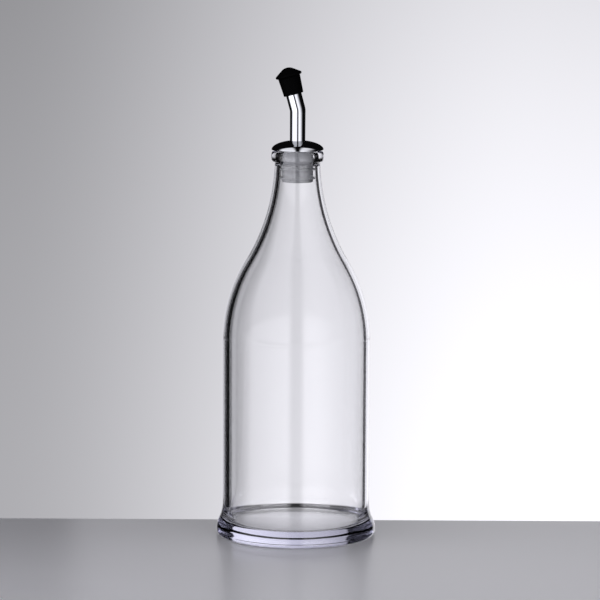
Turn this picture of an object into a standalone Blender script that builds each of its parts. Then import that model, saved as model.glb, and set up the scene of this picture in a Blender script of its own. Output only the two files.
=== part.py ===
"""Empty oil cruet: a clear moulded bottle, a grey stopper, a steel collar, a bent spout and a rubber cap.

The origin is the middle of the foot where the bottle stands. +Z runs up the bottle's axis, and the
spout leans towards -X. All sizes are metres.
"""
import math

import bmesh
import bpy
from mathutils import Matrix, Vector

# Bottle, outside
BODY_R = 0.04245
FOOT_R = 0.0460
FOOT_FLAT_R = 0.0436
FOOT_HOLLOW_R = 0.0398
FOOT_HOLLOW_DEPTH = 0.0006
FOOT_HOLLOW_EDGE = 0.0008
FOOT_RIM_LOW_Z = 0.0024
FOOT_RIM_HIGH_Z = 0.0038
FOOT_RIM_BEND_R = 0.0100
FLARE_BEND_R = 0.0222
SHOULDER_Z = 0.1120
SHOULDER_BEND_R = 0.0920
NECK_R = 0.0130
NECK_BEND_R = 0.1150
NECK_TOP_Z = 0.2160

# Lip round the mouth
LIP_R = 0.0151
LIP_MIDDLE_Z = 0.2191
LIP_HALF_HEIGHT = 0.0031
MOUTH_Z = 0.2225
MOUTH_LAND_R = 0.0129
MOUTH_R = 0.0113
MOUTH_CHAMFER = 0.0008

# Bottle, inside
WALL = 0.0036
NECK_WALL = 0.00245
WALL_THINS_FROM_Z = 0.1600
FLOOR_Z = 0.0073
FLOOR_FILLET_R = 0.0025

# Stopper in the neck
STOPPER_R = 0.0089
STOPPER_BOTTOM_Z = 0.2044
STOPPER_TOP_Z = 0.2252
STOPPER_CHAMFER = 0.0008
FIN_HEIGHTS = (0.2069, 0.2120, 0.2149)
FIN_R = 0.0102
FIN_FOOT_HALF = 0.00055
FIN_TIP_HALF = 0.00035

# Domed collar over the lip
COLLAR_R = 0.0150
COLLAR_RIM_Z = 0.2229
COLLAR_RISE = 0.0055
COLLAR_SHEET = 0.0008

# Spout tube
SPOUT_R = 0.0045
SPOUT_BORE_R = 0.0040
SPOUT_BOTTOM_Z = 0.2054
SPOUT_CORNER_Z = 0.2455
SPOUT_LEAN = math.radians(15.0)
SPOUT_BEND_R = 0.0090
SPOUT_TIP = 0.0188

# Cap on the spout, measured along the leaning tube
CAP_START = 0.0093
CAP_FOOT_R = 0.0057
CAP_TOP_R = 0.0064
CAP_FOOT_EDGE = 0.0003
CAP_FLANGE_R = 0.0076
CAP_FLANGE_HALF = 0.00085
CAP_FLANGE_AT = 0.0113
CAP_LENGTH = 0.01575
CAP_TIP_BEND_R = 0.0060
CAP_CONE_NORMAL = math.radians(54.0)
CAP_ROOF_AT = 0.0099
CAP_ROOF_EDGE = 0.0006

# Clearance between pieces that touch on the real thing
GAP = 0.0003

# Facets round each turned piece
BOTTLE_SEGMENTS = 48
COLLAR_SEGMENTS = 48
STOPPER_SEGMENTS = 40
SPOUT_SEGMENTS = 24
CAP_SEGMENTS = 32
SHARP_EDGE = math.radians(35.0)


def clear_scene():
    for item in list(bpy.data.objects):
        bpy.data.objects.remove(item, do_unlink=True)


def arc(centre, radius_r, radius_z, start, end, steps):
    """Points of an elliptic arc in the profile plane, both ends included."""
    points = []
    for step in range(steps + 1):
        angle = start + (end - start) * step / steps
        across = centre[0] + radius_r * math.cos(angle)
        up = centre[1] + radius_z * math.sin(angle)
        points.append((across, up))
    return points


def finish(name, colour, roughness, metallic, transmission=0.0, ior=1.49):
    material = bpy.data.materials.new(name)
    material.use_nodes = True
    shader = material.node_tree.nodes["Principled BSDF"]
    shader.inputs["Base Color"].default_value = (*colour, 1.0)
    shader.inputs["Roughness"].default_value = roughness
    shader.inputs["Metallic"].default_value = metallic
    shader.inputs["Transmission Weight"].default_value = transmission
    shader.inputs["IOR"].default_value = ior
    material.diffuse_color = (*colour, 1.0)
    return material


def add_piece(name, bm, material):
    """Closes a mesh's small seams, faces it outwards and links it as a smooth object."""
    bmesh.ops.remove_doubles(bm, verts=bm.verts[:], dist=1e-6)
    bmesh.ops.recalc_face_normals(bm, faces=bm.faces[:])
    mesh = bpy.data.meshes.new(name)
    bm.to_mesh(mesh)
    bm.free()
    mesh.shade_smooth()
    mesh.set_sharp_from_angle(angle=SHARP_EDGE)
    mesh.materials.append(material)
    piece = bpy.data.objects.new(name, mesh)
    bpy.context.scene.collection.objects.link(piece)
    return piece


def turned(name, profile, segments, material, ring):
    """Turns a profile of (radius, height) points round Z. A ring's profile is a closed loop."""
    bm = bmesh.new()
    verts = [bm.verts.new((across, 0.0, up)) for across, up in profile]
    for first, second in zip(verts, verts[1:]):
        bm.edges.new((first, second))
    if ring:
        bm.edges.new((verts[-1], verts[0]))
    bmesh.ops.spin(
        bm,
        geom=bm.verts[:] + bm.edges[:],
        cent=(0.0, 0.0, 0.0),
        axis=(0.0, 0.0, 1.0),
        angle=2.0 * math.pi,
        steps=segments,
        use_merge=True,
    )
    return add_piece(name, bm, material)


def shoulder_curve():
    """The ogee from the body to the neck as (radius, height, tilt of the wall's outward normal).

    Two arcs meet on one tangent: the round shoulder, tangent to the body, and the hollow sweep of
    the neck, which stands upright where its radius is least.
    """
    low_centre = Vector((BODY_R - SHOULDER_BEND_R, SHOULDER_Z))
    across = NECK_R + NECK_BEND_R - low_centre.x
    rise = math.sqrt((SHOULDER_BEND_R + NECK_BEND_R) ** 2 - across ** 2)
    high_centre = low_centre + Vector((across, rise))
    steepest = math.atan2(rise, across)
    end_tilt = math.asin((high_centre.y - NECK_TOP_Z) / NECK_BEND_R)
    low_steps = 8
    high_steps = 9
    points = []
    for step in range(low_steps):
        tilt = steepest * step / low_steps
        normal = Vector((math.cos(tilt), math.sin(tilt)))
        points.append((*(low_centre + SHOULDER_BEND_R * normal), tilt))
    for step in range(high_steps + 1):
        tilt = steepest + (end_tilt - steepest) * step / high_steps
        normal = Vector((math.cos(tilt), math.sin(tilt)))
        points.append((*(high_centre - NECK_BEND_R * normal), tilt))
    return points


def wall_at(height):
    """The wall is even up to the middle of the shoulder and thins evenly to the mouth."""
    share = (height - WALL_THINS_FROM_Z) / (NECK_TOP_Z - WALL_THINS_FROM_Z)
    share = min(1.0, max(0.0, share))
    return WALL + (NECK_WALL - WALL) * share


def bottle_profile():
    foot = [
        (0.0, FOOT_HOLLOW_DEPTH),
        (FOOT_HOLLOW_R - FOOT_HOLLOW_EDGE, FOOT_HOLLOW_DEPTH),
        (FOOT_HOLLOW_R, 0.0),
    ]
    low_rim_centre = (FOOT_FLAT_R, FOOT_RIM_LOW_Z)
    foot += arc(low_rim_centre, FOOT_R - FOOT_FLAT_R, FOOT_RIM_LOW_Z, -math.pi / 2.0, 0.0, 4)

    # The rim rounds over on its own bend until it meets the hollow flare on one tangent
    spread = FOOT_R - BODY_R
    lean = math.acos(1.0 - spread / (FOOT_RIM_BEND_R + FLARE_BEND_R))
    rim_centre = (FOOT_R - FOOT_RIM_BEND_R, FOOT_RIM_HIGH_Z)
    foot += arc(rim_centre, FOOT_RIM_BEND_R, FOOT_RIM_BEND_R, 0.0, lean, 3)
    flare_top = FOOT_RIM_HIGH_Z + (FOOT_RIM_BEND_R + FLARE_BEND_R) * math.sin(lean)
    flare_centre = (BODY_R + FLARE_BEND_R, flare_top)
    flare = arc(flare_centre, FLARE_BEND_R, FLARE_BEND_R, math.pi + lean, math.pi, 5)
    foot += flare[1:]

    shoulder = shoulder_curve()
    outside = [(radius, height) for radius, height, tilt in shoulder]
    lip_centre = (NECK_R, LIP_MIDDLE_Z)
    lip = arc(lip_centre, LIP_R - NECK_R, LIP_HALF_HEIGHT, -math.pi / 2.0, math.pi / 2.0, 8)
    mouth = [
        (MOUTH_LAND_R, MOUTH_Z),
        (MOUTH_R, MOUTH_Z),
        (NECK_R - NECK_WALL, MOUTH_Z - MOUTH_CHAMFER),
    ]

    inside = []
    for radius, height, tilt in reversed(shoulder):
        wall = wall_at(height)
        inside.append((radius - wall * math.cos(tilt), height - wall * math.sin(tilt)))
    bore_r = BODY_R - WALL
    fillet_centre = (bore_r - FLOOR_FILLET_R, FLOOR_Z + FLOOR_FILLET_R)
    inside += arc(fillet_centre, FLOOR_FILLET_R, FLOOR_FILLET_R, 0.0, -math.pi / 2.0, 4)
    inside.append((0.0, FLOOR_Z))
    return foot + outside[:-1] + lip + mouth + inside


def add_bottle():
    clear = finish("clear_bottle", (0.93, 0.94, 0.96), 0.02, 0.0, transmission=1.0)
    return turned("bottle", bottle_profile(), BOTTLE_SEGMENTS, clear, ring=False)


def add_stopper():
    """A plug with three thin fins round it, which press on the wall of the neck."""
    grey = finish("grey_stopper", (0.42, 0.43, 0.45), 0.35, 0.0)
    hole_r = SPOUT_R + GAP
    profile = [
        (hole_r, STOPPER_BOTTOM_Z),
        (STOPPER_R - STOPPER_CHAMFER, STOPPER_BOTTOM_Z),
        (STOPPER_R, STOPPER_BOTTOM_Z + STOPPER_CHAMFER),
    ]
    for height in FIN_HEIGHTS:
        profile.append((STOPPER_R, height - FIN_FOOT_HALF))
        profile.append((FIN_R, height - FIN_TIP_HALF))
        profile.append((FIN_R, height + FIN_TIP_HALF))
        profile.append((STOPPER_R, height + FIN_FOOT_HALF))
    profile += [
        (STOPPER_R, STOPPER_TOP_Z - STOPPER_CHAMFER),
        (STOPPER_R - STOPPER_CHAMFER, STOPPER_TOP_Z),
        (hole_r, STOPPER_TOP_Z),
    ]
    return turned("stopper", profile, STOPPER_SEGMENTS, grey, ring=True)


def add_collar():
    """A dome pressed from thin sheet, open below, with a hole that the spout passes through."""
    steel = finish("steel_collar", (0.56, 0.57, 0.59), 0.12, 1.0)
    hole_r = SPOUT_R + GAP
    centre = (0.0, COLLAR_RIM_Z)
    inner_r = COLLAR_R - COLLAR_SHEET
    inner_rise = COLLAR_RISE - COLLAR_SHEET
    outer_end = math.acos(hole_r / COLLAR_R)
    inner_end = math.acos(hole_r / inner_r)
    profile = arc(centre, COLLAR_R, COLLAR_RISE, 0.0, outer_end, 8)
    profile += arc(centre, inner_r, inner_rise, inner_end, 0.0, 7)
    return turned("collar", profile, COLLAR_SEGMENTS, steel, ring=True)


def push(bm, loops, motion):
    """Extrudes the open loops of a tube and moves the new loops by a matrix."""
    made = bmesh.ops.extrude_edge_only(bm, edges=loops)["geom"]
    verts = [item for item in made if isinstance(item, bmesh.types.BMVert)]
    bmesh.ops.transform(bm, matrix=motion, verts=verts)
    return [item for item in made if isinstance(item, bmesh.types.BMEdge)]


def spout_direction():
    return Vector((-math.sin(SPOUT_LEAN), 0.0, math.cos(SPOUT_LEAN)))


def add_spout():
    """A thin tube that stands upright, bends once and leans to its tip."""
    steel = finish("steel_spout", (0.60, 0.61, 0.63), 0.10, 1.0)
    tangent = SPOUT_BEND_R * math.tan(SPOUT_LEAN / 2.0)
    bend_z = SPOUT_CORNER_Z - tangent
    bend_steps = 5
    bm = bmesh.new()
    for radius in (SPOUT_R, SPOUT_BORE_R):
        bmesh.ops.create_circle(bm, cap_ends=False, radius=radius, segments=SPOUT_SEGMENTS)
    bmesh.ops.translate(bm, verts=bm.verts[:], vec=(0.0, 0.0, SPOUT_BOTTOM_Z))
    loops = bm.edges[:]
    bmesh.ops.bridge_loops(bm, edges=loops)
    loops = push(bm, loops, Matrix.Translation((0.0, 0.0, bend_z - SPOUT_BOTTOM_Z)))
    pivot = Matrix.Translation((-SPOUT_BEND_R, 0.0, bend_z))
    turn = pivot @ Matrix.Rotation(-SPOUT_LEAN / bend_steps, 4, "Y") @ pivot.inverted()
    for step in range(bend_steps):
        loops = push(bm, loops, turn)
    loops = push(bm, loops, Matrix.Translation(spout_direction() * (SPOUT_TIP - tangent)))
    bmesh.ops.bridge_loops(bm, edges=loops)
    return add_piece("spout", bm, steel)


def add_cap():
    """A rubber cap that slides over the spout's tip, with a low cone and a flange to pull it by."""
    rubber = finish("black_rubber", (0.012, 0.012, 0.013), 0.7, 0.0)
    hole_r = SPOUT_R + GAP
    cavity = [
        (0.0, CAP_ROOF_AT),
        (hole_r - CAP_ROOF_EDGE, CAP_ROOF_AT),
        (hole_r, CAP_ROOF_AT - CAP_ROOF_EDGE),
        (hole_r, 0.0),
    ]
    skirt = [
        (CAP_FOOT_R - CAP_FOOT_EDGE, 0.0),
        (CAP_FOOT_R, CAP_FOOT_EDGE),
        (CAP_TOP_R, CAP_FLANGE_AT - CAP_FLANGE_HALF),
    ]
    flange_centre = (CAP_FLANGE_R - CAP_FLANGE_HALF, CAP_FLANGE_AT)
    half = CAP_FLANGE_HALF
    flange = arc(flange_centre, half, half, -math.pi / 2.0, CAP_CONE_NORMAL, 6)
    tip_centre = (0.0, CAP_LENGTH - CAP_TIP_BEND_R)
    bend = CAP_TIP_BEND_R
    tip = arc(tip_centre, bend, bend, CAP_CONE_NORMAL, math.pi / 2.0, 4)
    tip[-1] = (0.0, CAP_LENGTH)
    cap = turned("cap", cavity + skirt + flange + tip, CAP_SEGMENTS, rubber, ring=False)
    cap.location = Vector((0.0, 0.0, SPOUT_CORNER_Z)) + spout_direction() * CAP_START
    cap.rotation_euler = (0.0, -SPOUT_LEAN, 0.0)
    return cap


clear_scene()
add_bottle()
add_stopper()
add_collar()
add_spout()
add_cap()
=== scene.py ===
# %% [markdown]
# # An empty oil cruet
#
# The object is a clear moulded bottle with a long sloping shoulder and a thick flared foot. A
# milky stopper sits in its neck. Above it are a polished collar, a bent pouring tube and a black
# rubber cap. This lesson loads the sized solids, then makes a finer piece for each of them, with
# its finish, in the studio light that clear things need.

# %% Load the sized solids
import math

import bmesh
import bpy
from mathutils import Matrix, Vector


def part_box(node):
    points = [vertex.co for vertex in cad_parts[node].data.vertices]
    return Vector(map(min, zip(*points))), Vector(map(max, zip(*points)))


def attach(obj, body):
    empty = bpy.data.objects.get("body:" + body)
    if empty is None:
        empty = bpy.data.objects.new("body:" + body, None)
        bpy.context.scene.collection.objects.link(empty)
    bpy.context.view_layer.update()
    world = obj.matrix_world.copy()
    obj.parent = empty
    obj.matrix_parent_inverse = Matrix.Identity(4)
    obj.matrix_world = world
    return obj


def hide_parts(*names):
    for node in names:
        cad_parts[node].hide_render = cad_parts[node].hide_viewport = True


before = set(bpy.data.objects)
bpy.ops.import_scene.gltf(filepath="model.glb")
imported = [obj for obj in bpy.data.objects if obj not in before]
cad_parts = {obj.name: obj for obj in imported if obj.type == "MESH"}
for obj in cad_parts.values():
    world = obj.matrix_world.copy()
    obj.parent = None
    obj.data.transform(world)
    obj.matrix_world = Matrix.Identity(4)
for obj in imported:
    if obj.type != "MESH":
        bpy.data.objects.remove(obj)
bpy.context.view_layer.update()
scene = bpy.context.scene

# %% [markdown]
# ## The camera
#
# The picture looks slightly down on the bottle through a long lens, so the body's sides stay
# parallel and the foot still shows as an ellipse. The lens follows from two facts: the foot is
# seen from about 12 degrees above and the collar from about 4, which sets the distance, and the
# bottle's height in the picture then sets the lens. The camera also rolls a third of a degree.

# %% Place the camera
CAMERA_AWAY = 1.630
CAMERA_HEIGHT = 0.346
CAMERA_DOWN = math.radians(7.33)
CAMERA_RIGHT = math.radians(0.063)
CAMERA_ROLL = math.radians(0.30)
LENS = 171.36

camera_data = bpy.data.cameras.new("camera")
camera_data.lens = LENS
camera_data.sensor_width = 36.0
camera_data.clip_end = 20.0
camera = bpy.data.objects.new("camera", camera_data)
camera.location = (0.0, -CAMERA_AWAY, CAMERA_HEIGHT)
aim = Matrix.Rotation(-CAMERA_RIGHT, 4, "Z") @ Matrix.Rotation(math.pi / 2.0 - CAMERA_DOWN, 4, "X")
camera.rotation_euler = (aim @ Matrix.Rotation(CAMERA_ROLL, 4, "Z")).to_euler()
scene.collection.objects.link(camera)
scene.camera = camera
print("camera", [round(value, 3) for value in camera.location])

# %% [markdown]
# ## Small helpers for node trees
#
# Every finish and the studio light are node trees. Nodes could be added and linked one by one, but
# the same few steps come back in every tree. Each of them is a short helper here, so a finish
# reads as a list of what it is made of.


# %% Helpers for any node tree
def fill(tree, node, inputs):
    """Gives a node its inputs. A value that is a socket is linked, and any other value is set."""
    for name, value in inputs.items():
        if isinstance(value, bpy.types.NodeSocket):
            tree.links.new(value, node.inputs[name])
        else:
            node.inputs[name].default_value = value


def add_node(tree, kind, inputs=None, **settings):
    node = tree.nodes.new(kind)
    for name, value in settings.items():
        setattr(node, name, value)
    fill(tree, node, inputs or {})
    return node


def maths(tree, operation, first, second=0.0):
    node = add_node(tree, "ShaderNodeMath", {0: first, 1: second}, operation=operation)
    return node.outputs[0]


def ease(tree, value, start, end, low=0.0, high=1.0):
    """A smooth step from low to high while the value goes from start to end."""
    inputs = {"Value": value, "From Min": start, "From Max": end, "To Min": low, "To Max": high}
    node = add_node(tree, "ShaderNodeMapRange", inputs, interpolation_type="SMOOTHSTEP")
    return node.outputs["Result"]


def mix(tree, share, first, second):
    inputs = {"Factor": share, "A": first, "B": second}
    return add_node(tree, "ShaderNodeMix", inputs).outputs["Result"]


def axes_of(tree, vector):
    return add_node(tree, "ShaderNodeSeparateXYZ", {"Vector": vector}).outputs


# %% Helpers for a finish
def start_material(name):
    """A new material, its tree, its shader, and the place on the piece in metres."""
    material = bpy.data.materials.new(name)
    material.use_nodes = True
    tree = material.node_tree
    place = add_node(tree, "ShaderNodeTexCoord").outputs["Object"]
    return material, tree, tree.nodes["Principled BSDF"], place


def noise(tree, place, scale, detail):
    inputs = {"Vector": place, "Scale": scale, "Detail": detail}
    return add_node(tree, "ShaderNodeTexNoise", inputs).outputs["Fac"]


def colours(tree, value, first, last):
    """A ramp between two colours."""
    ramp = add_node(tree, "ShaderNodeValToRGB", {"Fac": value})
    for stop, colour in zip(ramp.color_ramp.elements, (first, last)):
        stop.color = (*colour, 1.0)
    return ramp.outputs["Color"]


def bump(tree, height, strength, depth):
    inputs = {"Height": height, "Strength": strength, "Distance": depth}
    return add_node(tree, "ShaderNodeBump", inputs).outputs["Normal"]


def stretched(tree, place, scales):
    node = add_node(tree, "ShaderNodeVectorMath", {0: place, 1: scales}, operation="MULTIPLY")
    return node.outputs["Vector"]


def axis_distance(tree, place):
    """The distance from the bottle's axis."""
    axes = axes_of(tree, place)
    flat = add_node(tree, "ShaderNodeCombineXYZ", {"X": axes["X"], "Y": axes["Y"]})
    away = add_node(tree, "ShaderNodeVectorMath", {0: flat.outputs[0]}, operation="LENGTH")
    return away.outputs["Value"]


# %% [markdown]
# ## The studio round the bottle
#
# Clear plastic has almost no colour of its own: it shows what stands round it. Its walls bend the
# view by up to 90 degrees, so the dark lines that draw the bottle are black cloth at both sides of
# a pale backdrop, and the long soft streaks are two large lamps with a narrow gap for the camera.
# Area lamps and boards could be built one by one. One world shader that paints them by compass
# angle and height is simpler to tune, and it is soft by nature.

# %% Describe the two lamps
# A lamp's angle to the side is 0 towards the camera and grows to the right. Both start softly at
# the gap for the camera. The right one ends softly, and the left one goes on round the side.
LAMP_GAP = (4.0, 16.0)
RIGHT_LAMP_ENDS = (24.0, 74.0)
# The lamps' light by its angle over the level: strong below the table, and weaker with height
LAMP_LOW_LIGHT = 3.0
LAMP_MIDDLE_LIGHT = 1.9
LAMP_HIGH_LIGHT = 1.15
LAMP_LOW_UNTIL = (-7.5, -4.5)
LAMP_MIDDLE_UNTIL = (14.0, 24.0)
# Their lower edge, as the upward part of the direction
LAMP_BOTTOM = (-0.70, -0.57)
# How far back they are full, low down and overhead, and where they end, as its backward part
LAMP_BACK_LOW = -0.42
LAMP_BACK_HIGH = 0.10
LAMP_BACK_END = 0.14


def lamp_light(tree, axes):
    """The light of both lamps in a direction."""
    toward = maths(tree, "MULTIPLY", axes["Y"], -1.0)
    over = maths(tree, "DEGREES", maths(tree, "ARCTAN2", axes["Z"], toward))
    side = maths(tree, "DEGREES", maths(tree, "ARCSINE", axes["X"]))
    strength = ease(tree, over, *LAMP_LOW_UNTIL, LAMP_LOW_LIGHT, LAMP_MIDDLE_LIGHT)
    dimmer = ease(tree, over, *LAMP_MIDDLE_UNTIL, 0.0, LAMP_MIDDLE_LIGHT - LAMP_HIGH_LIGHT)
    strength = maths(tree, "SUBTRACT", strength, dimmer)
    floor_edge = ease(tree, axes["Z"], *LAMP_BOTTOM)
    raised = maths(tree, "MAXIMUM", axes["Z"], 0.0)
    back = maths(tree, "MULTIPLY", raised, LAMP_BACK_HIGH - LAMP_BACK_LOW)
    back = maths(tree, "ADD", back, LAMP_BACK_LOW)
    reach = ease(tree, axes["Y"], back, LAMP_BACK_END, 1.0, 0.0)
    gap = ease(tree, maths(tree, "ABSOLUTE", side), *LAMP_GAP)
    right_side = maths(tree, "GREATER_THAN", side, 0.0)
    right_loss = maths(tree, "MULTIPLY", right_side, ease(tree, side, *RIGHT_LAMP_ENDS))
    both = maths(tree, "MULTIPLY", gap, maths(tree, "SUBTRACT", 1.0, right_loss))
    both = maths(tree, "MULTIPLY", both, maths(tree, "MULTIPLY", reach, floor_edge))
    return maths(tree, "MULTIPLY", strength, both)


# %% [markdown]
# The backdrop's tone runs from grey at the left to white at the right, and darkens upwards. The
# camera sees it where the photograph's own view meets it, and one plain pale tone from every other
# side. All else that the bottle could mirror is black cloth.

# %% Describe the backdrop's tone and join it with the lamps
BACKDROP_AWAY = 0.35
BACKDROP_TINT = (0.957, 0.950, 1.0)
BACKDROP_GREY = 0.44
BACKDROP_WHITE = 1.16
GREY_UNTIL = -0.226
WHITE_FROM = 0.172
DARKENS_FROM = -0.076
DARKENS_OVER = 0.377
DARKENING = 0.29
DARKENING_POWER = 1.5
# Seen from this many degrees to the side, the gradient has begun and finished turning plain
PLAIN_FROM = (8.0, 30.0)
PLAIN_BACKDROP = 0.74
BLACK_CLOTH = 0.004
LEAST_AHEAD = 0.1
LAMP_MAP_SIZE = 1024


def backdrop_tone(tree, across, up):
    """The backdrop's tone at a place on it, in metres to the right and above the table."""
    tone = ease(tree, across, GREY_UNTIL, WHITE_FROM, BACKDROP_GREY, BACKDROP_WHITE)
    climb = maths(tree, "DIVIDE", maths(tree, "SUBTRACT", up, DARKENS_FROM), DARKENS_OVER)
    climb = maths(tree, "POWER", maths(tree, "MAXIMUM", climb, 0.0), DARKENING_POWER)
    fade = maths(tree, "SUBTRACT", 1.0, maths(tree, "MULTIPLY", climb, DARKENING))
    return maths(tree, "MULTIPLY", tone, fade)


def tinted(tree, strength):
    """Light in the backdrop's tint."""
    inputs = {"Scale": strength, 0: BACKDROP_TINT}
    return add_node(tree, "ShaderNodeVectorMath", inputs, operation="SCALE").outputs["Vector"]


def seen_backdrop(tree, axes):
    """What the camera itself sees in a direction."""
    depth = CAMERA_AWAY + BACKDROP_AWAY
    ahead = maths(tree, "MAXIMUM", axes["Y"], LEAST_AHEAD)
    across = maths(tree, "MULTIPLY", maths(tree, "DIVIDE", axes["X"], ahead), depth)
    up = maths(tree, "MULTIPLY", maths(tree, "DIVIDE", axes["Z"], ahead), depth)
    gradient = backdrop_tone(tree, across, maths(tree, "ADD", up, CAMERA_HEIGHT))
    compass = maths(tree, "DEGREES", maths(tree, "ARCTAN2", axes["X"], axes["Y"]))
    turned = ease(tree, maths(tree, "ABSOLUTE", compass), *PLAIN_FROM)
    return mix(tree, turned, gradient, PLAIN_BACKDROP)


def paint_studio():
    world = bpy.data.worlds.new("studio")
    scene.world = world
    world.use_nodes = True
    tree = world.node_tree
    tree.nodes.clear()
    axes = axes_of(tree, add_node(tree, "ShaderNodeTexCoord").outputs["Generated"])
    studio = maths(tree, "ADD", lamp_light(tree, axes), BLACK_CLOTH)
    seen = add_node(tree, "ShaderNodeLightPath").outputs["Is Camera Ray"]
    light = mix(tree, seen, studio, seen_backdrop(tree, axes))
    glow = add_node(tree, "ShaderNodeBackground", {"Color": tinted(tree, light)})
    add_node(tree, "ShaderNodeOutputWorld", {"Surface": glow.outputs["Background"]})
    world.cycles.sampling_method = "MANUAL"
    world.cycles.sample_map_resolution = LAMP_MAP_SIZE
    print("studio nodes", len(tree.nodes))


paint_studio()
scene.view_settings.view_transform = "Standard"

# %% [markdown]
# ## The backdrop
#
# The backdrop is a lit sheet close behind the bottle. How close matters to the object: the thick
# base bends some rays up by 20 to 40 degrees, and they still have to meet the sheet, while the
# steel collar, higher up, mirrors only the dark over the sheet's top. A backdrop painted in the
# world is endlessly far away and can't do both, so it is a real sheet here. The camera doesn't see
# the sheet itself, which would stand in the way of a view from behind. It sees the same tones
# painted in the world.

# %% Hang the backdrop sheet
SHEET_LEFT = -0.168
SHEET_RIGHT = 0.262
SHEET_BOTTOM = -0.4
SHEET_TOP = 0.253
SIDE_SOFT = 0.020
TOP_SOFT = 0.060
# Low down the sheet fades between these heights to this share of its light
SHEET_FADES = (-0.205, -0.160, 0.03)


def flat_sheet(name, left, right, front, back, material, upright=False):
    """A rectangle that lies on the table's level, or stands behind the bottle."""
    corners = [(left, front), (right, front), (right, back), (left, back)]
    if upright:
        points = [(across, BACKDROP_AWAY, up) for across, up in corners]
    else:
        points = [(across, along, 0.0) for across, along in corners]
    mesh = bpy.data.meshes.new(name)
    mesh.from_pydata(points, [], [(0, 1, 2, 3)])
    mesh.materials.append(material)
    sheet = bpy.data.objects.new(name, mesh)
    scene.collection.objects.link(sheet)
    return sheet


def lit_sheet():
    material, tree, shader, place = start_material("lit_sheet")
    axes = axes_of(tree, place)
    tone = backdrop_tone(tree, axes["X"], axes["Z"])
    for value, edge, inner in (
        (axes["X"], SHEET_LEFT, SHEET_LEFT + SIDE_SOFT),
        (axes["X"], SHEET_RIGHT, SHEET_RIGHT - SIDE_SOFT),
        (axes["Z"], SHEET_TOP, SHEET_TOP - TOP_SOFT),
    ):
        tone = maths(tree, "MULTIPLY", tone, ease(tree, value, edge, inner))
    tone = maths(tree, "MULTIPLY", tone, ease(tree, axes["Z"], *SHEET_FADES))
    glow = add_node(tree, "ShaderNodeEmission", {"Color": tinted(tree, tone)})
    fill(tree, tree.nodes["Material Output"], {"Surface": glow.outputs["Emission"]})
    tree.nodes.remove(shader)
    return material


backdrop = flat_sheet(
    "backdrop", SHEET_LEFT, SHEET_RIGHT, SHEET_BOTTOM, SHEET_TOP, lit_sheet(), upright=True
)
backdrop.visible_camera = False
print("backdrop", BACKDROP_AWAY, "metres behind the bottle")

# %% [markdown]
# ## The table
#
# The bottle stands near the back edge of a pale grey table, so the line between table and backdrop
# runs just behind its foot. Its paint is a soft grey with a faint mottle and a slight gloss. The
# lamps' light and shade over it is painted into it as two soft ramps. The real table is small, and
# the bottle's front mirrors the low lamps past its edge. A wide table looks better from other
# sides, so this one is wide, and stays out of mirror images instead. A clear base gathers light
# under itself, so the table is a little brighter there. Tracing that light would need very many
# samples, and a faint round glow in the paint does the same.

# %% Lay the table
TABLE_BACK = 0.0365
TABLE_FAR = 3.0
# Two soft ramps of painted light and shade: from this place to that one, and the tone at each
PAINTED_LIGHT_BACK_TO_FRONT = (0.06, -0.20, 0.51, 0.84)
PAINTED_LIGHT_LEFT_TO_RIGHT = (-0.22, 0.14, 1.22, 0.82)
BLUE_SHARE = 1.03
MOTTLE_SCALE = 6.0
MOTTLE_TONE = 0.04
GLOW = 0.24
GLOW_EDGE = (0.036, 0.045)


def table_paint_and_light():
    material, tree, shader, place = start_material("table_paint_and_light")
    axes = axes_of(tree, place)
    # The two ramps are painted light and shade: darker towards the back and towards the right,
    # where the lamps' light falls off
    tone = maths(
        tree,
        "MULTIPLY",
        ease(tree, axes["Y"], *PAINTED_LIGHT_BACK_TO_FRONT),
        ease(tree, axes["X"], *PAINTED_LIGHT_LEFT_TO_RIGHT),
    )
    mottle = maths(tree, "MULTIPLY", noise(tree, place, MOTTLE_SCALE, 3.0), MOTTLE_TONE)
    tone = maths(tree, "ADD", tone, mottle)
    blue = maths(tree, "MULTIPLY", tone, BLUE_SHARE)
    paint = add_node(tree, "ShaderNodeCombineColor", {"Red": tone, "Green": tone, "Blue": blue})
    finish = {
        "Base Color": paint.outputs["Color"],
        "Roughness": 0.28,
        "Emission Color": (*BACKDROP_TINT, 1.0),
        "Emission Strength": ease(tree, axis_distance(tree, place), *GLOW_EDGE, GLOW, 0.0),
    }
    fill(tree, shader, finish)
    return material


table = flat_sheet("table", -TABLE_FAR, TABLE_FAR, -TABLE_FAR, TABLE_BACK, table_paint_and_light())
table.visible_glossy = False
print("table's back edge", TABLE_BACK)

# %% [markdown]
# ## Turned pieces by Geometry Nodes
#
# The bottle, stopper, collar and cap are all turned shapes: one profile swept round one axis. A
# Screw modifier or a spin would do it too. A small Geometry Nodes tree shows the rule openly: it
# lays a grid with one row for each profile point, and moves each grid point to its place on the
# circle. The number of sides and the material are its named inputs.

# %% Build the turning tree
MERGE_WITHIN = 1e-6


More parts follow.
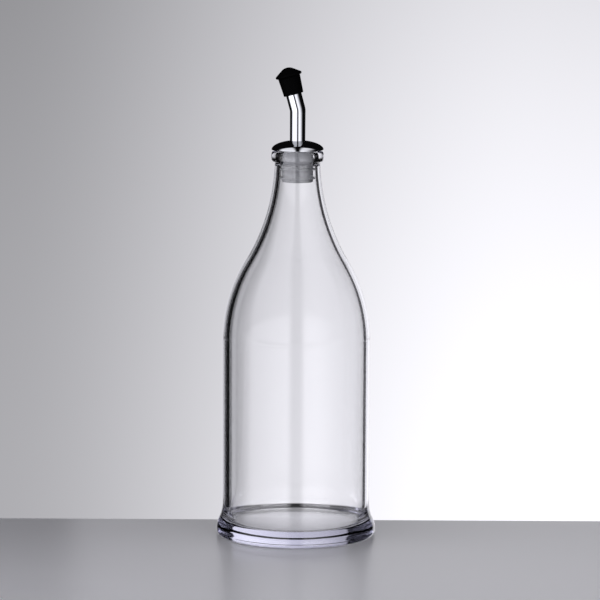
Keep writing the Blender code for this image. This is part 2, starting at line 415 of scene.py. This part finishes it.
def circle_place(tree, profile, sides, around):
    """Where each point of the grid goes: its row gives the profile point, its step the angle."""
    index = add_node(tree, "GeometryNodeInputIndex").outputs["Index"]
    row = maths(tree, "FLOOR", maths(tree, "DIVIDE", maths(tree, "ADD", index, 0.5), around))
    step = maths(tree, "SUBTRACT", index, maths(tree, "MULTIPLY", row, around))
    angle = maths(tree, "MULTIPLY", maths(tree, "DIVIDE", step, sides), 2.0 * math.pi)
    sample = add_node(
        tree,
        "GeometryNodeSampleIndex",
        {"Geometry": profile, "Index": row},
        data_type="FLOAT_VECTOR",
        domain="POINT",
    )
    position = add_node(tree, "GeometryNodeInputPosition").outputs["Position"]
    tree.links.new(position, sample.inputs["Value"])
    point = axes_of(tree, sample.outputs["Value"])
    turned = {
        "X": maths(tree, "MULTIPLY", point["X"], maths(tree, "COSINE", angle)),
        "Y": maths(tree, "MULTIPLY", point["X"], maths(tree, "SINE", angle)),
        "Z": point["Z"],
    }
    return add_node(tree, "ShaderNodeCombineXYZ", turned).outputs["Vector"]


def turning_tree():
    tree = bpy.data.node_groups.new("turn_profile", "GeometryNodeTree")
    face = tree.interface
    face.new_socket("Profile", in_out="INPUT", socket_type="NodeSocketGeometry")
    face.new_socket("Sides", in_out="INPUT", socket_type="NodeSocketInt")
    face.new_socket("Finish", in_out="INPUT", socket_type="NodeSocketMaterial")
    face.new_socket("Turned", in_out="OUTPUT", socket_type="NodeSocketGeometry")
    given = add_node(tree, "NodeGroupInput").outputs

    inputs = {"Geometry": given["Profile"]}
    size = add_node(tree, "GeometryNodeAttributeDomainSize", inputs, component="MESH")
    around = maths(tree, "ADD", given["Sides"], 1.0)
    inputs = {"Vertices X": size.outputs["Point Count"], "Vertices Y": around}
    shape = add_node(tree, "GeometryNodeMeshGrid", inputs).outputs["Mesh"]
    place = circle_place(tree, given["Profile"], given["Sides"], around)
    for kind, inputs in (
        ("GeometryNodeSetPosition", {"Position": place}),
        ("GeometryNodeMergeByDistance", {"Distance": MERGE_WITHIN}),
        ("GeometryNodeSetShadeSmooth", {"Shade Smooth": True}),
        ("GeometryNodeRealizeInstances", {}),
        ("GeometryNodeSetMaterial", {"Material": given["Finish"]}),
    ):
        shape = add_node(tree, kind, {"Geometry": shape, **inputs}).outputs["Geometry"]
    add_node(tree, "NodeGroupOutput", {"Turned": shape})
    return tree


TURNING = turning_tree()
print("turning tree", len(TURNING.nodes), "nodes")


# %% [markdown]
# The tree works as a modifier on a profile. A modifier could stay live on the piece, but the
# object is measured and exported as plain meshes. So a helper runs the tree once, keeps its
# result, closes the seam and turns all faces outwards.

# %% Turn one profile into a finished mesh
SEAM_WITHIN = 1e-7
CUBIC_CM = 1e-6


def face_outwards(mesh):
    """Merges the seam and the poles, then turns every face of the closed shape outwards."""
    shape = bmesh.new()
    shape.from_mesh(mesh)
    bmesh.ops.remove_doubles(shape, verts=shape.verts[:], dist=SEAM_WITHIN)
    bmesh.ops.recalc_face_normals(shape, faces=shape.faces[:])
    open_edges = sum(1 for edge in shape.edges if len(edge.link_faces) != 2)
    volume = shape.calc_volume(signed=True) / CUBIC_CM
    print("  open edges", open_edges, "volume in cubic cm", round(volume, 2))
    shape.to_mesh(mesh)
    shape.free()


def socket_id(tree, name):
    return next(item.identifier for item in tree.interface.items_tree if item.name == name)


def turn(name, profile, sides, material, place=None):
    """Runs the tree on (radius, height) points and keeps the result as a plain mesh."""
    guide = bpy.data.meshes.new(name + "_profile")
    points = [(radius, 0.0, height) for radius, height in profile]
    lines = [(index, index + 1) for index in range(len(points) - 1)]
    guide.from_pydata(points, lines, [])
    worker = bpy.data.objects.new(name + "_profile", guide)
    scene.collection.objects.link(worker)
    modifier = worker.modifiers.new("turn", "NODES")
    modifier.node_group = TURNING
    modifier[socket_id(TURNING, "Sides")] = sides
    modifier[socket_id(TURNING, "Finish")] = material
    graph = bpy.context.evaluated_depsgraph_get()
    mesh = bpy.data.meshes.new_from_object(worker.evaluated_get(graph), depsgraph=graph)
    bpy.data.objects.remove(worker)
    if place is not None:
        mesh.transform(place)
    face_outwards(mesh)
    mesh.name = name
    piece = bpy.data.objects.new(name, mesh)
    scene.collection.objects.link(piece)
    print(name, "points", len(profile), "faces", len(mesh.polygons))
    return piece


# %% Helpers that draw a profile
def arc(centre, radius_r, radius_z, start, end, steps):
    """Points of an elliptic arc, both ends included, with angles in degrees from outwards."""
    points = []
    for step in range(steps + 1):
        angle = math.radians(start + (end - start) * step / steps)
        across = centre[0] + radius_r * math.cos(angle)
        points.append((across, centre[1] + radius_z * math.sin(angle)))
    return points


def straight(first, second, steps):
    """Points between two profile points, without the ends."""
    points = []
    for step in range(1, steps):
        share = step / steps
        across = first[0] + (second[0] - first[0]) * share
        points.append((across, first[1] + (second[1] - first[1]) * share))
    return points


# %% [markdown]
# ## The bottle's shape
#
# On the real bottle the wall's thickness draws the picture as much as its outline does. The inside
# surface turns back the light that meets it too steeply, and that is the black line just inside
# each edge. So both surfaces are modelled, with the even wall of the body, the thinner wall of the
# neck and the thick base. The shoulder is an ogee: a round arc tangent to the body and a hollow
# arc up the neck, which meet on one tangent. The inside follows the outside at the wall's depth.

# %% Work out the ogee of the shoulder
BODY_R = 0.04245
WALL = 0.0036
NECK_WALL = 0.00280
WALL_THINS_FROM = 0.160
SHOULDER_Z = 0.112
SHOULDER_BEND = 0.092
SHOULDER_STEPS = 26
NECK_R = 0.0130
NECK_BEND = 0.115
NECK_TOP = 0.216


def wall_at(height):
    share = min(1.0, max(0.0, (height - WALL_THINS_FROM) / (NECK_TOP - WALL_THINS_FROM)))
    return WALL + (NECK_WALL - WALL) * share


def shoulder_curve():
    """The ogee as (radius, height, tilt of the outward normal)."""
    low_centre = Vector((BODY_R - SHOULDER_BEND, SHOULDER_Z))
    across = NECK_R + NECK_BEND - low_centre.x
    rise = math.sqrt((SHOULDER_BEND + NECK_BEND) ** 2 - across**2)
    high_centre = low_centre + Vector((across, rise))
    steepest = math.atan2(rise, across)
    last = math.asin((high_centre.y - NECK_TOP) / NECK_BEND)
    points = []
    for step in range(SHOULDER_STEPS):
        tilt = steepest * step / SHOULDER_STEPS
        normal = Vector((math.cos(tilt), math.sin(tilt)))
        points.append((*(low_centre + SHOULDER_BEND * normal), tilt))
    for step in range(SHOULDER_STEPS + 1):
        tilt = steepest + (last - steepest) * step / SHOULDER_STEPS
        normal = Vector((math.cos(tilt), math.sin(tilt)))
        points.append((*(high_centre - NECK_BEND * normal), tilt))
    return points


shoulder = shoulder_curve()
print("ogee from", round(shoulder[0][1], 4), "to", round(shoulder[-1][1], 4))

# %% [markdown]
# The moulded top meets the body in a hairline groove where the shoulder starts. A bump in the
# plastic's finish could fake it. It is put into the outline instead, as a short cosine dip, so the
# groove bends the light as a real one does.

# %% Draw the seam into the outside
SEAM_Z = 0.1148
SEAM_DEPTH = 0.00003
SEAM_HALF = 0.00035
SEAM_STEPS = 8


def with_seam(points):
    """Replaces the points round the seam by a finely drawn groove."""
    below = [point for point in points if point[1] < SEAM_Z - SEAM_HALF]
    above = [point for point in points if point[1] > SEAM_Z + SEAM_HALF]
    start, end = below[-1], above[0]
    groove = []
    for step in range(SEAM_STEPS + 1):
        offset = SEAM_HALF * (2.0 * step / SEAM_STEPS - 1.0)
        level = SEAM_Z + offset
        share = (level - start[1]) / (end[1] - start[1])
        radius = start[0] + (end[0] - start[0]) * share
        radius -= SEAM_DEPTH * 0.5 * (1.0 + math.cos(math.pi * offset / SEAM_HALF))
        groove.append((radius, level))
    return below + groove + above


# %% [markdown]
# The rest of the profile is short arcs and lines, from the underside out to the flared foot, up
# the body, over the lip and down inside to the floor. The underside isn't seen, so it is plain: a
# shallow hollow in a flat ring. The bead of the lip isn't quite round in the photograph, so its
# half ellipse has fuller corners.

# %% Draw the whole profile
bottle_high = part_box("bottle")[1]
FOOT_R = bottle_high.x
MOUTH_Z = bottle_high.z
FLAT_R = 0.0436
HOLLOW_R = 0.0398
HOLLOW_FLAT_R = 0.034125
HOLLOW_DEPTH = 0.0006
RIM_LOW = 0.0024
RIM_HIGH = 0.0038
RIM_BEND = 0.0100
FLARE_BEND = 0.0222
LIP_R = 0.0151
LIP_Z = 0.2191
LIP_HALF = 0.0031
LIP_FULLNESS = 0.74
LAND_R = 0.0129
EDGE_ROUND = 0.0004
MOUTH_ROUND = 0.0007
FLOOR_Z = 0.0073
FLOOR_FILLET = 0.0025


def lip_bead():
    """The bead round the mouth: half an ellipse with fuller corners."""
    points = []
    for across, up in arc((0.0, 0.0), 1.0, 1.0, -90.0, 88.0, 28):
        radius = NECK_R + (LIP_R - NECK_R) * abs(across) ** LIP_FULLNESS
        points.append((radius, LIP_Z + LIP_HALF * math.copysign(abs(up) ** LIP_FULLNESS, up)))
    return points


def foot_outline():
    """The underside, the rim and the flare, up to the body."""
    under = [(HOLLOW_FLAT_R * step / 7.0, HOLLOW_DEPTH) for step in range(8)]
    under.append((HOLLOW_R, 0.0))
    rim = arc((FLAT_R, RIM_LOW), FOOT_R - FLAT_R, RIM_LOW, -90.0, 0.0, 12)
    lean = math.degrees(math.acos(1.0 - (FOOT_R - BODY_R) / (RIM_BEND + FLARE_BEND)))
    rim += arc((FOOT_R - RIM_BEND, RIM_HIGH), RIM_BEND, RIM_BEND, 0.0, lean, 8)
    flare_top = RIM_HIGH + (RIM_BEND + FLARE_BEND) * math.sin(math.radians(lean))
    flare_centre = (BODY_R + FLARE_BEND, flare_top)
    return under + rim + arc(flare_centre, FLARE_BEND, FLARE_BEND, 180.0 + lean, 180.0, 14)[1:]


def mouth_outline(bore_r):
    """The narrow land at the top and the rounded edge into the neck."""
    land = (LAND_R - EDGE_ROUND, MOUTH_Z - EDGE_ROUND)
    edge_z = MOUTH_Z - MOUTH_ROUND
    points = arc(land, EDGE_ROUND, EDGE_ROUND, 60.0, 90.0, 3)
    points += arc((bore_r + MOUTH_ROUND, edge_z), MOUTH_ROUND, MOUTH_ROUND, 90.0, 180.0, 8)
    return points + straight((bore_r, edge_z), (bore_r, NECK_TOP), 4)


def inside_outline():
    """The hollow, from the neck down to the middle of the floor."""
    points = []
    for radius, height, tilt in reversed(shoulder):
        wall = wall_at(height)
        points.append((radius - wall * math.cos(tilt), height - wall * math.sin(tilt)))
    bore_r = BODY_R - WALL
    low = FLOOR_Z + FLOOR_FILLET
    points += straight((bore_r, SHOULDER_Z), (bore_r, low), 24)
    points += arc((bore_r - FLOOR_FILLET, low), FLOOR_FILLET, FLOOR_FILLET, 0.0, -90.0, 12)
    points += straight((bore_r - FLOOR_FILLET, FLOOR_Z), (0.0, FLOOR_Z), 8)
    return points + [(0.0, FLOOR_Z)]


def bottle_profile():
    foot = foot_outline()
    outside = straight(foot[-1], (BODY_R, SHOULDER_Z), 24) + [point[:2] for point in shoulder]
    lip = lip_bead()[1:]
    return foot + with_seam(outside) + lip + mouth_outline(NECK_R - NECK_WALL) + inside_outline()


profile = bottle_profile()
print("profile points", len(profile))

# %% [markdown]
# ## The clear plastic
#
# The bottle is polished acrylic. It lets light straight through and bends it a little less than
# glass does. It has a trace of violet in it, which only shows where the light has gone a long way
# through, as in the base. A coloured surface would tint thin and thick parts alike, so the tint is
# a faint absorption inside the wall. Blowing the bottle into its mould draws the plastic upwards
# and leaves its surface very slightly uneven, in long soft streaks. A noise that is stretched along
# the height gives these, as a bump of a few hundredths of a millimetre.

# %% Mix the clear plastic
STREAKS = (90.0, 90.0, 6.0)
STREAK_STRENGTH = 0.3
STREAK_DEPTH = 0.00003
VIOLET = (0.42, 0.42, 0.72, 1.0)
VIOLET_DENSITY = 7.0
BOTTLE_SIDES = 192


def clear_acrylic():
    material, tree, shader, place = start_material("clear_acrylic")
    uneven = noise(tree, stretched(tree, place, STREAKS), 1.0, 2.0)
    finish = {
        "Base Color": (1.0, 1.0, 1.0, 1.0),
        "Transmission Weight": 1.0,
        "IOR": 1.49,
        "Roughness": 0.0,
        "Normal": bump(tree, uneven, STREAK_STRENGTH, STREAK_DEPTH),
    }
    fill(tree, shader, finish)
    inputs = {"Color": VIOLET, "Density": VIOLET_DENSITY}
    tint = add_node(tree, "ShaderNodeVolumeAbsorption", inputs)
    fill(tree, tree.nodes["Material Output"], {"Volume": tint.outputs["Volume"]})
    return material


bottle = turn("clear_bottle", profile, BOTTLE_SIDES, clear_acrylic())
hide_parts("bottle")
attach(bottle, "root")

# %% [markdown]
# ## The stopper
#
# The stopper is a plug of soft, milky grey plastic with a hole for the tube. Three thin fins round
# it press on the neck's wall and seal it. Where a fin touches, light that would be thrown back
# inside the wall gets out, and the dark bands of the neck break off there. That only happens at a
# real contact, so each fin goes 0.05 mm into the wall. The plug could be one plain cylinder with a
# painted line, but then the bands would run through. It is turned from a profile, and a rule draws
# each fin. Its plastic is faintly cloudy and lets some light in, which softens its shading.

# %% Mix the milky plastic
CLOUD_SCALE = 220.0
CLOUD_DARK = (0.53, 0.54, 0.56)
CLOUD_LIGHT = (0.63, 0.64, 0.66)


def milky_plastic():
    material, tree, shader, place = start_material("milky_plastic")
    finish = {
        "Base Color": colours(tree, noise(tree, place, CLOUD_SCALE, 2.0), CLOUD_DARK, CLOUD_LIGHT),
        "Roughness": 0.4,
        "Subsurface Weight": 0.4,
        "Subsurface Radius": (1.0, 1.0, 1.0),
        "Subsurface Scale": 0.003,
    }
    fill(tree, shader, finish)
    return material


# %% Make the stopper
STOPPER_LOW = 0.2044
STOPPER_HIGH = 0.2252
STOPPER_R = 0.0089
STOPPER_EDGE = 0.0008
HOLE_R = 0.0048
FINS = (0.2069, 0.2120, 0.2149)
FIN_PRESS = 0.00005
FIN_HALF = 0.00040
FIN_TIP_ROUND = 0.00025
FIN_ROOT_OUT = 0.0002
FIN_ROOT_UP = 0.0001
SMALL_SIDES = 96


def fin(height):
    """One fin from below: a thin lip with a round tip that presses on the neck's wall."""
    wall = NECK_R - NECK_WALL + FIN_PRESS
    root_r = STOPPER_R + FIN_ROOT_OUT
    root_half = FIN_HALF + FIN_ROOT_UP
    points = [(STOPPER_R, height - root_half), (root_r, height - FIN_HALF)]
    points += arc((wall - FIN_TIP_ROUND, height), FIN_TIP_ROUND, FIN_HALF, -90.0, 90.0, 8)
    return points + [(root_r, height + FIN_HALF), (STOPPER_R, height + root_half)]


def stopper_profile():
    core = STOPPER_R - STOPPER_EDGE
    low = STOPPER_LOW + STOPPER_EDGE
    high = STOPPER_HIGH - STOPPER_EDGE
    points = [(HOLE_R, STOPPER_LOW)]
    points += arc((core, low), STOPPER_EDGE, STOPPER_EDGE, -90.0, 0.0, 6)
    for height in FINS:
        points += fin(height)
    points += arc((core, high), STOPPER_EDGE, STOPPER_EDGE, 0.0, 90.0, 6)
    return points + [(HOLE_R, STOPPER_HIGH), (HOLE_R, STOPPER_LOW)]


stopper = turn("milky_stopper", stopper_profile(), SMALL_SIDES, milky_plastic())
print("stopper fins", len(FINS))
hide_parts("stopper")
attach(stopper, "root")

# %% [markdown]
# ## The collar
#
# A domed cap of thin steel covers the stopper and the bottle's lip. It is spun and polished on a
# lathe, so its fine polishing lines run round the axis. They could be modelled as grooves, but they
# are far finer than a picture element. A noise that is read by the distance from the axis gives
# rings of slightly different roughness, which is all that can be seen of them.

# %% Mix the polished steel
LINES_SCALE = 1800.0
LINES_RANGE = (0.3, 0.7)
LINES_SWING = 0.3
ALONG_TUBE = (1.0, 1.0, 0.02)


def round_lines(tree, place):
    """Noise coordinates that only change with the distance from the axis."""
    return add_node(tree, "ShaderNodeCombineXYZ", {"X": axis_distance(tree, place)}).outputs[0]


def long_lines(tree, place):
    """Noise coordinates that hardly change along the height."""
    return stretched(tree, place, ALONG_TUBE)


def polished_steel(name, tone, roughness, lines):
    material, tree, shader, place = start_material(name)
    polish = noise(tree, lines(tree, place), LINES_SCALE, 2.0)
    least = roughness * (1.0 - LINES_SWING)
    most = roughness * (1.0 + LINES_SWING)
    finish = {
        "Base Color": (*tone, 1.0),
        "Metallic": 1.0,
        "Roughness": ease(tree, polish, *LINES_RANGE, least, most),
    }
    fill(tree, shader, finish)
    return material


# %% Make the collar
COLLAR_RIM = 0.2229
COLLAR_R = 0.0150
COLLAR_RISE = 0.0055
COLLAR_SHEET = 0.0008
COLLAR_TONE = (0.62, 0.63, 0.65)
COLLAR_SIDES = 128


def collar_profile():
    inner_r = COLLAR_R - COLLAR_SHEET
    outer_end = math.degrees(math.acos(HOLE_R / COLLAR_R))
    inner_end = math.degrees(math.acos(HOLE_R / inner_r))
    points = arc((0.0, COLLAR_RIM), COLLAR_R, COLLAR_RISE, 0.0, outer_end, 28)
    points += arc((0.0, COLLAR_RIM), inner_r, COLLAR_RISE - COLLAR_SHEET, inner_end, 0.0, 20)
    return points + [points[0]]


collar_steel = polished_steel("collar_steel", COLLAR_TONE, 0.06, round_lines)
collar = turn("steel_collar", collar_profile(), COLLAR_SIDES, collar_steel)
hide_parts("collar")
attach(collar, "root")

# %% [markdown]
# ## The spout
#
# The pouring tube is a thin steel tube, bent by 15 degrees just over the collar and open at both
# ends. A curve with a round bevel would give the outside only. Rings of points are laid along the
# tube's path instead, up on the outside and down again on the inside, and joined into one closed
# wall. Tube is drawn through a die, so its polishing lines run lengthwise.

# %% Lay out the tube's path
SPOUT_R = 0.0045
SPOUT_BORE = 0.0040
SPOUT_LOW = 0.2054
SPOUT_BEND = 0.0090
SPOUT_TIP = 0.0188
CORNER_Z = 0.2455
LEAN = math.radians(15.0)
LOW_STEPS = 8
BEND_STEPS = 12
TIP_STEPS = 6
lean_way = Vector((-math.sin(LEAN), 0.0, math.cos(LEAN)))


def spout_path():
    """Stations along the tube as (centre, lean angle)."""
    tangent = SPOUT_BEND * math.tan(LEAN / 2.0)
    bend_z = CORNER_Z - tangent
    stations = []
    for step in range(LOW_STEPS):
        height = SPOUT_LOW + (bend_z - SPOUT_LOW) * step / LOW_STEPS
        stations.append((Vector((0.0, 0.0, height)), 0.0))
    pivot = Vector((-SPOUT_BEND, 0.0, bend_z))
    for step in range(BEND_STEPS + 1):
        angle = LEAN * step / BEND_STEPS
        arm = Vector((math.cos(angle), 0.0, math.sin(angle))) * SPOUT_BEND
        stations.append((pivot + arm, angle))
    end = Vector((0.0, 0.0, CORNER_Z)) + lean_way * tangent
    for step in range(1, TIP_STEPS + 1):
        stations.append((end + lean_way * (SPOUT_TIP - tangent) * step / TIP_STEPS, LEAN))
    return stations


stations = spout_path()
print("spout stations", len(stations))

# %% Make the spout
SPOUT_SIDES = 64
SPOUT_TONE = (0.54, 0.55, 0.57)
SHARP_FROM = math.radians(40.0)


def add_ring(shape, centre, angle, radius):
    """A ring of points across the tube, for one station of the path."""
    side = Vector((math.cos(angle), 0.0, math.sin(angle)))
    ring = []
    for step in range(SPOUT_SIDES):
        around = 2.0 * math.pi * step / SPOUT_SIDES
        offset = side * math.cos(around) + Vector((0.0, 1.0, 0.0)) * math.sin(around)
        ring.append(shape.verts.new(centre + offset * radius))
    return ring


def make_spout():
    shape = bmesh.new()
    rings = [add_ring(shape, centre, angle, SPOUT_R) for centre, angle in stations]
    rings += [add_ring(shape, centre, angle, SPOUT_BORE) for centre, angle in reversed(stations)]
    for lower, upper in zip(rings, rings[1:] + rings[:1]):
        for step in range(SPOUT_SIDES):
            after = (step + 1) % SPOUT_SIDES
            shape.faces.new((lower[step], lower[after], upper[after], upper[step]))
    mesh = bpy.data.meshes.new("steel_spout")
    shape.to_mesh(mesh)
    shape.free()
    face_outwards(mesh)
    mesh.shade_smooth()
    mesh.set_sharp_from_angle(angle=SHARP_FROM)
    mesh.materials.append(polished_steel("spout_steel", SPOUT_TONE, 0.08, long_lines))
    piece = bpy.data.objects.new("steel_spout", mesh)
    scene.collection.objects.link(piece)
    print("steel_spout faces", len(mesh.polygons))
    return piece


spout = make_spout()
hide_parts("spout")
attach(spout, "root")

# %% [markdown]
# ## The cap
#
# A soft black rubber cap is pushed over the tube's end and leans with it. It widens a little
# upwards to a round flange, and ends in a low rounded cone. It is hollow from below, with a gap of
# 0.3 mm to the tube. It is turned upright round its own axis, and then put in place by a matrix
# that also goes into the mesh, so the object itself stays at the origin. Rubber swallows nearly all
# light, and a fine grain breaks up what little it mirrors.

# %% Mix the black rubber
GRAIN_SCALE = 1500.0
GRAIN_DARK = (0.0008, 0.0008, 0.0009)
GRAIN_LIGHT = (0.0016, 0.0016, 0.0018)
GRAIN_STRENGTH = 0.2
GRAIN_DEPTH = 0.0001


def black_rubber():
    material, tree, shader, place = start_material("black_rubber")
    grain = noise(tree, place, GRAIN_SCALE, 3.0)
    finish = {
        "Base Color": colours(tree, grain, GRAIN_DARK, GRAIN_LIGHT),
        "Roughness": 0.65,
        "Specular IOR Level": 0.02,
        "Normal": bump(tree, grain, GRAIN_STRENGTH, GRAIN_DEPTH),
    }
    fill(tree, shader, finish)
    return material


# %% Make the cap
CAP_START = 0.0093
CAP_FOOT_R = 0.0057
CAP_TOP_R = 0.0064
CAP_EDGE = 0.0003
CAP_LENGTH = 0.01573
FLANGE_R = 0.0076
FLANGE_HALF = 0.00085
FLANGE_AT = 0.0113
TIP_BEND = 0.0060
CONE_NORMAL = 54.0
ROOF_AT = 0.0099
ROOF_ROUND = 0.0006


def cap_profile():
    """The cap on its own axis: first its roof and its hole inside, then up the outside."""
    roof_r = HOLE_R - ROOF_ROUND
    round_z = ROOF_AT - ROOF_ROUND
    chamfer = CAP_EDGE / 3.0
    points = [(0.0, ROOF_AT)]
    points += straight((0.0, ROOF_AT), (roof_r, ROOF_AT), 4)
    points += arc((roof_r, round_z), ROOF_ROUND, ROOF_ROUND, 90.0, 0.0, 6)
    points += straight((HOLE_R, round_z), (HOLE_R, 0.0), 6)
    points += [(HOLE_R, chamfer), (HOLE_R + chamfer, 0.0)]
    points += arc((CAP_FOOT_R - CAP_EDGE, CAP_EDGE), CAP_EDGE, CAP_EDGE, -90.0, 0.0, 6)
    points += straight((CAP_FOOT_R, CAP_EDGE), (CAP_TOP_R, FLANGE_AT - FLANGE_HALF), 10)
    points += [(CAP_TOP_R, FLANGE_AT - FLANGE_HALF)]
    flange_centre = (FLANGE_R - FLANGE_HALF, FLANGE_AT)
    points += arc(flange_centre, FLANGE_HALF, FLANGE_HALF, -90.0, CONE_NORMAL, 16)
    points += arc((0.0, CAP_LENGTH - TIP_BEND), TIP_BEND, TIP_BEND, CONE_NORMAL, 90.0, 10)[:-1]
    return points + [(0.0, CAP_LENGTH)]


cap_place = Matrix.Translation(Vector((0.0, 0.0, CORNER_Z)) + lean_way * CAP_START)
cap_place = cap_place @ Matrix.Rotation(-LEAN, 4, "Y")
cap = turn("rubber_cap", cap_profile(), SMALL_SIDES, black_rubber(), cap_place)
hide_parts("cap")
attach(cap, "root")

# %% [markdown]
# ## Light paths
#
# A view through the bottle crosses up to eight surfaces, so the paths may be long.

# %% Finish
CLEAR_BOUNCES = 24
MIRROR_BOUNCES = 12

scene.cycles.max_bounces = CLEAR_BOUNCES
scene.cycles.transmission_bounces = CLEAR_BOUNCES
scene.cycles.glossy_bounces = MIRROR_BOUNCES
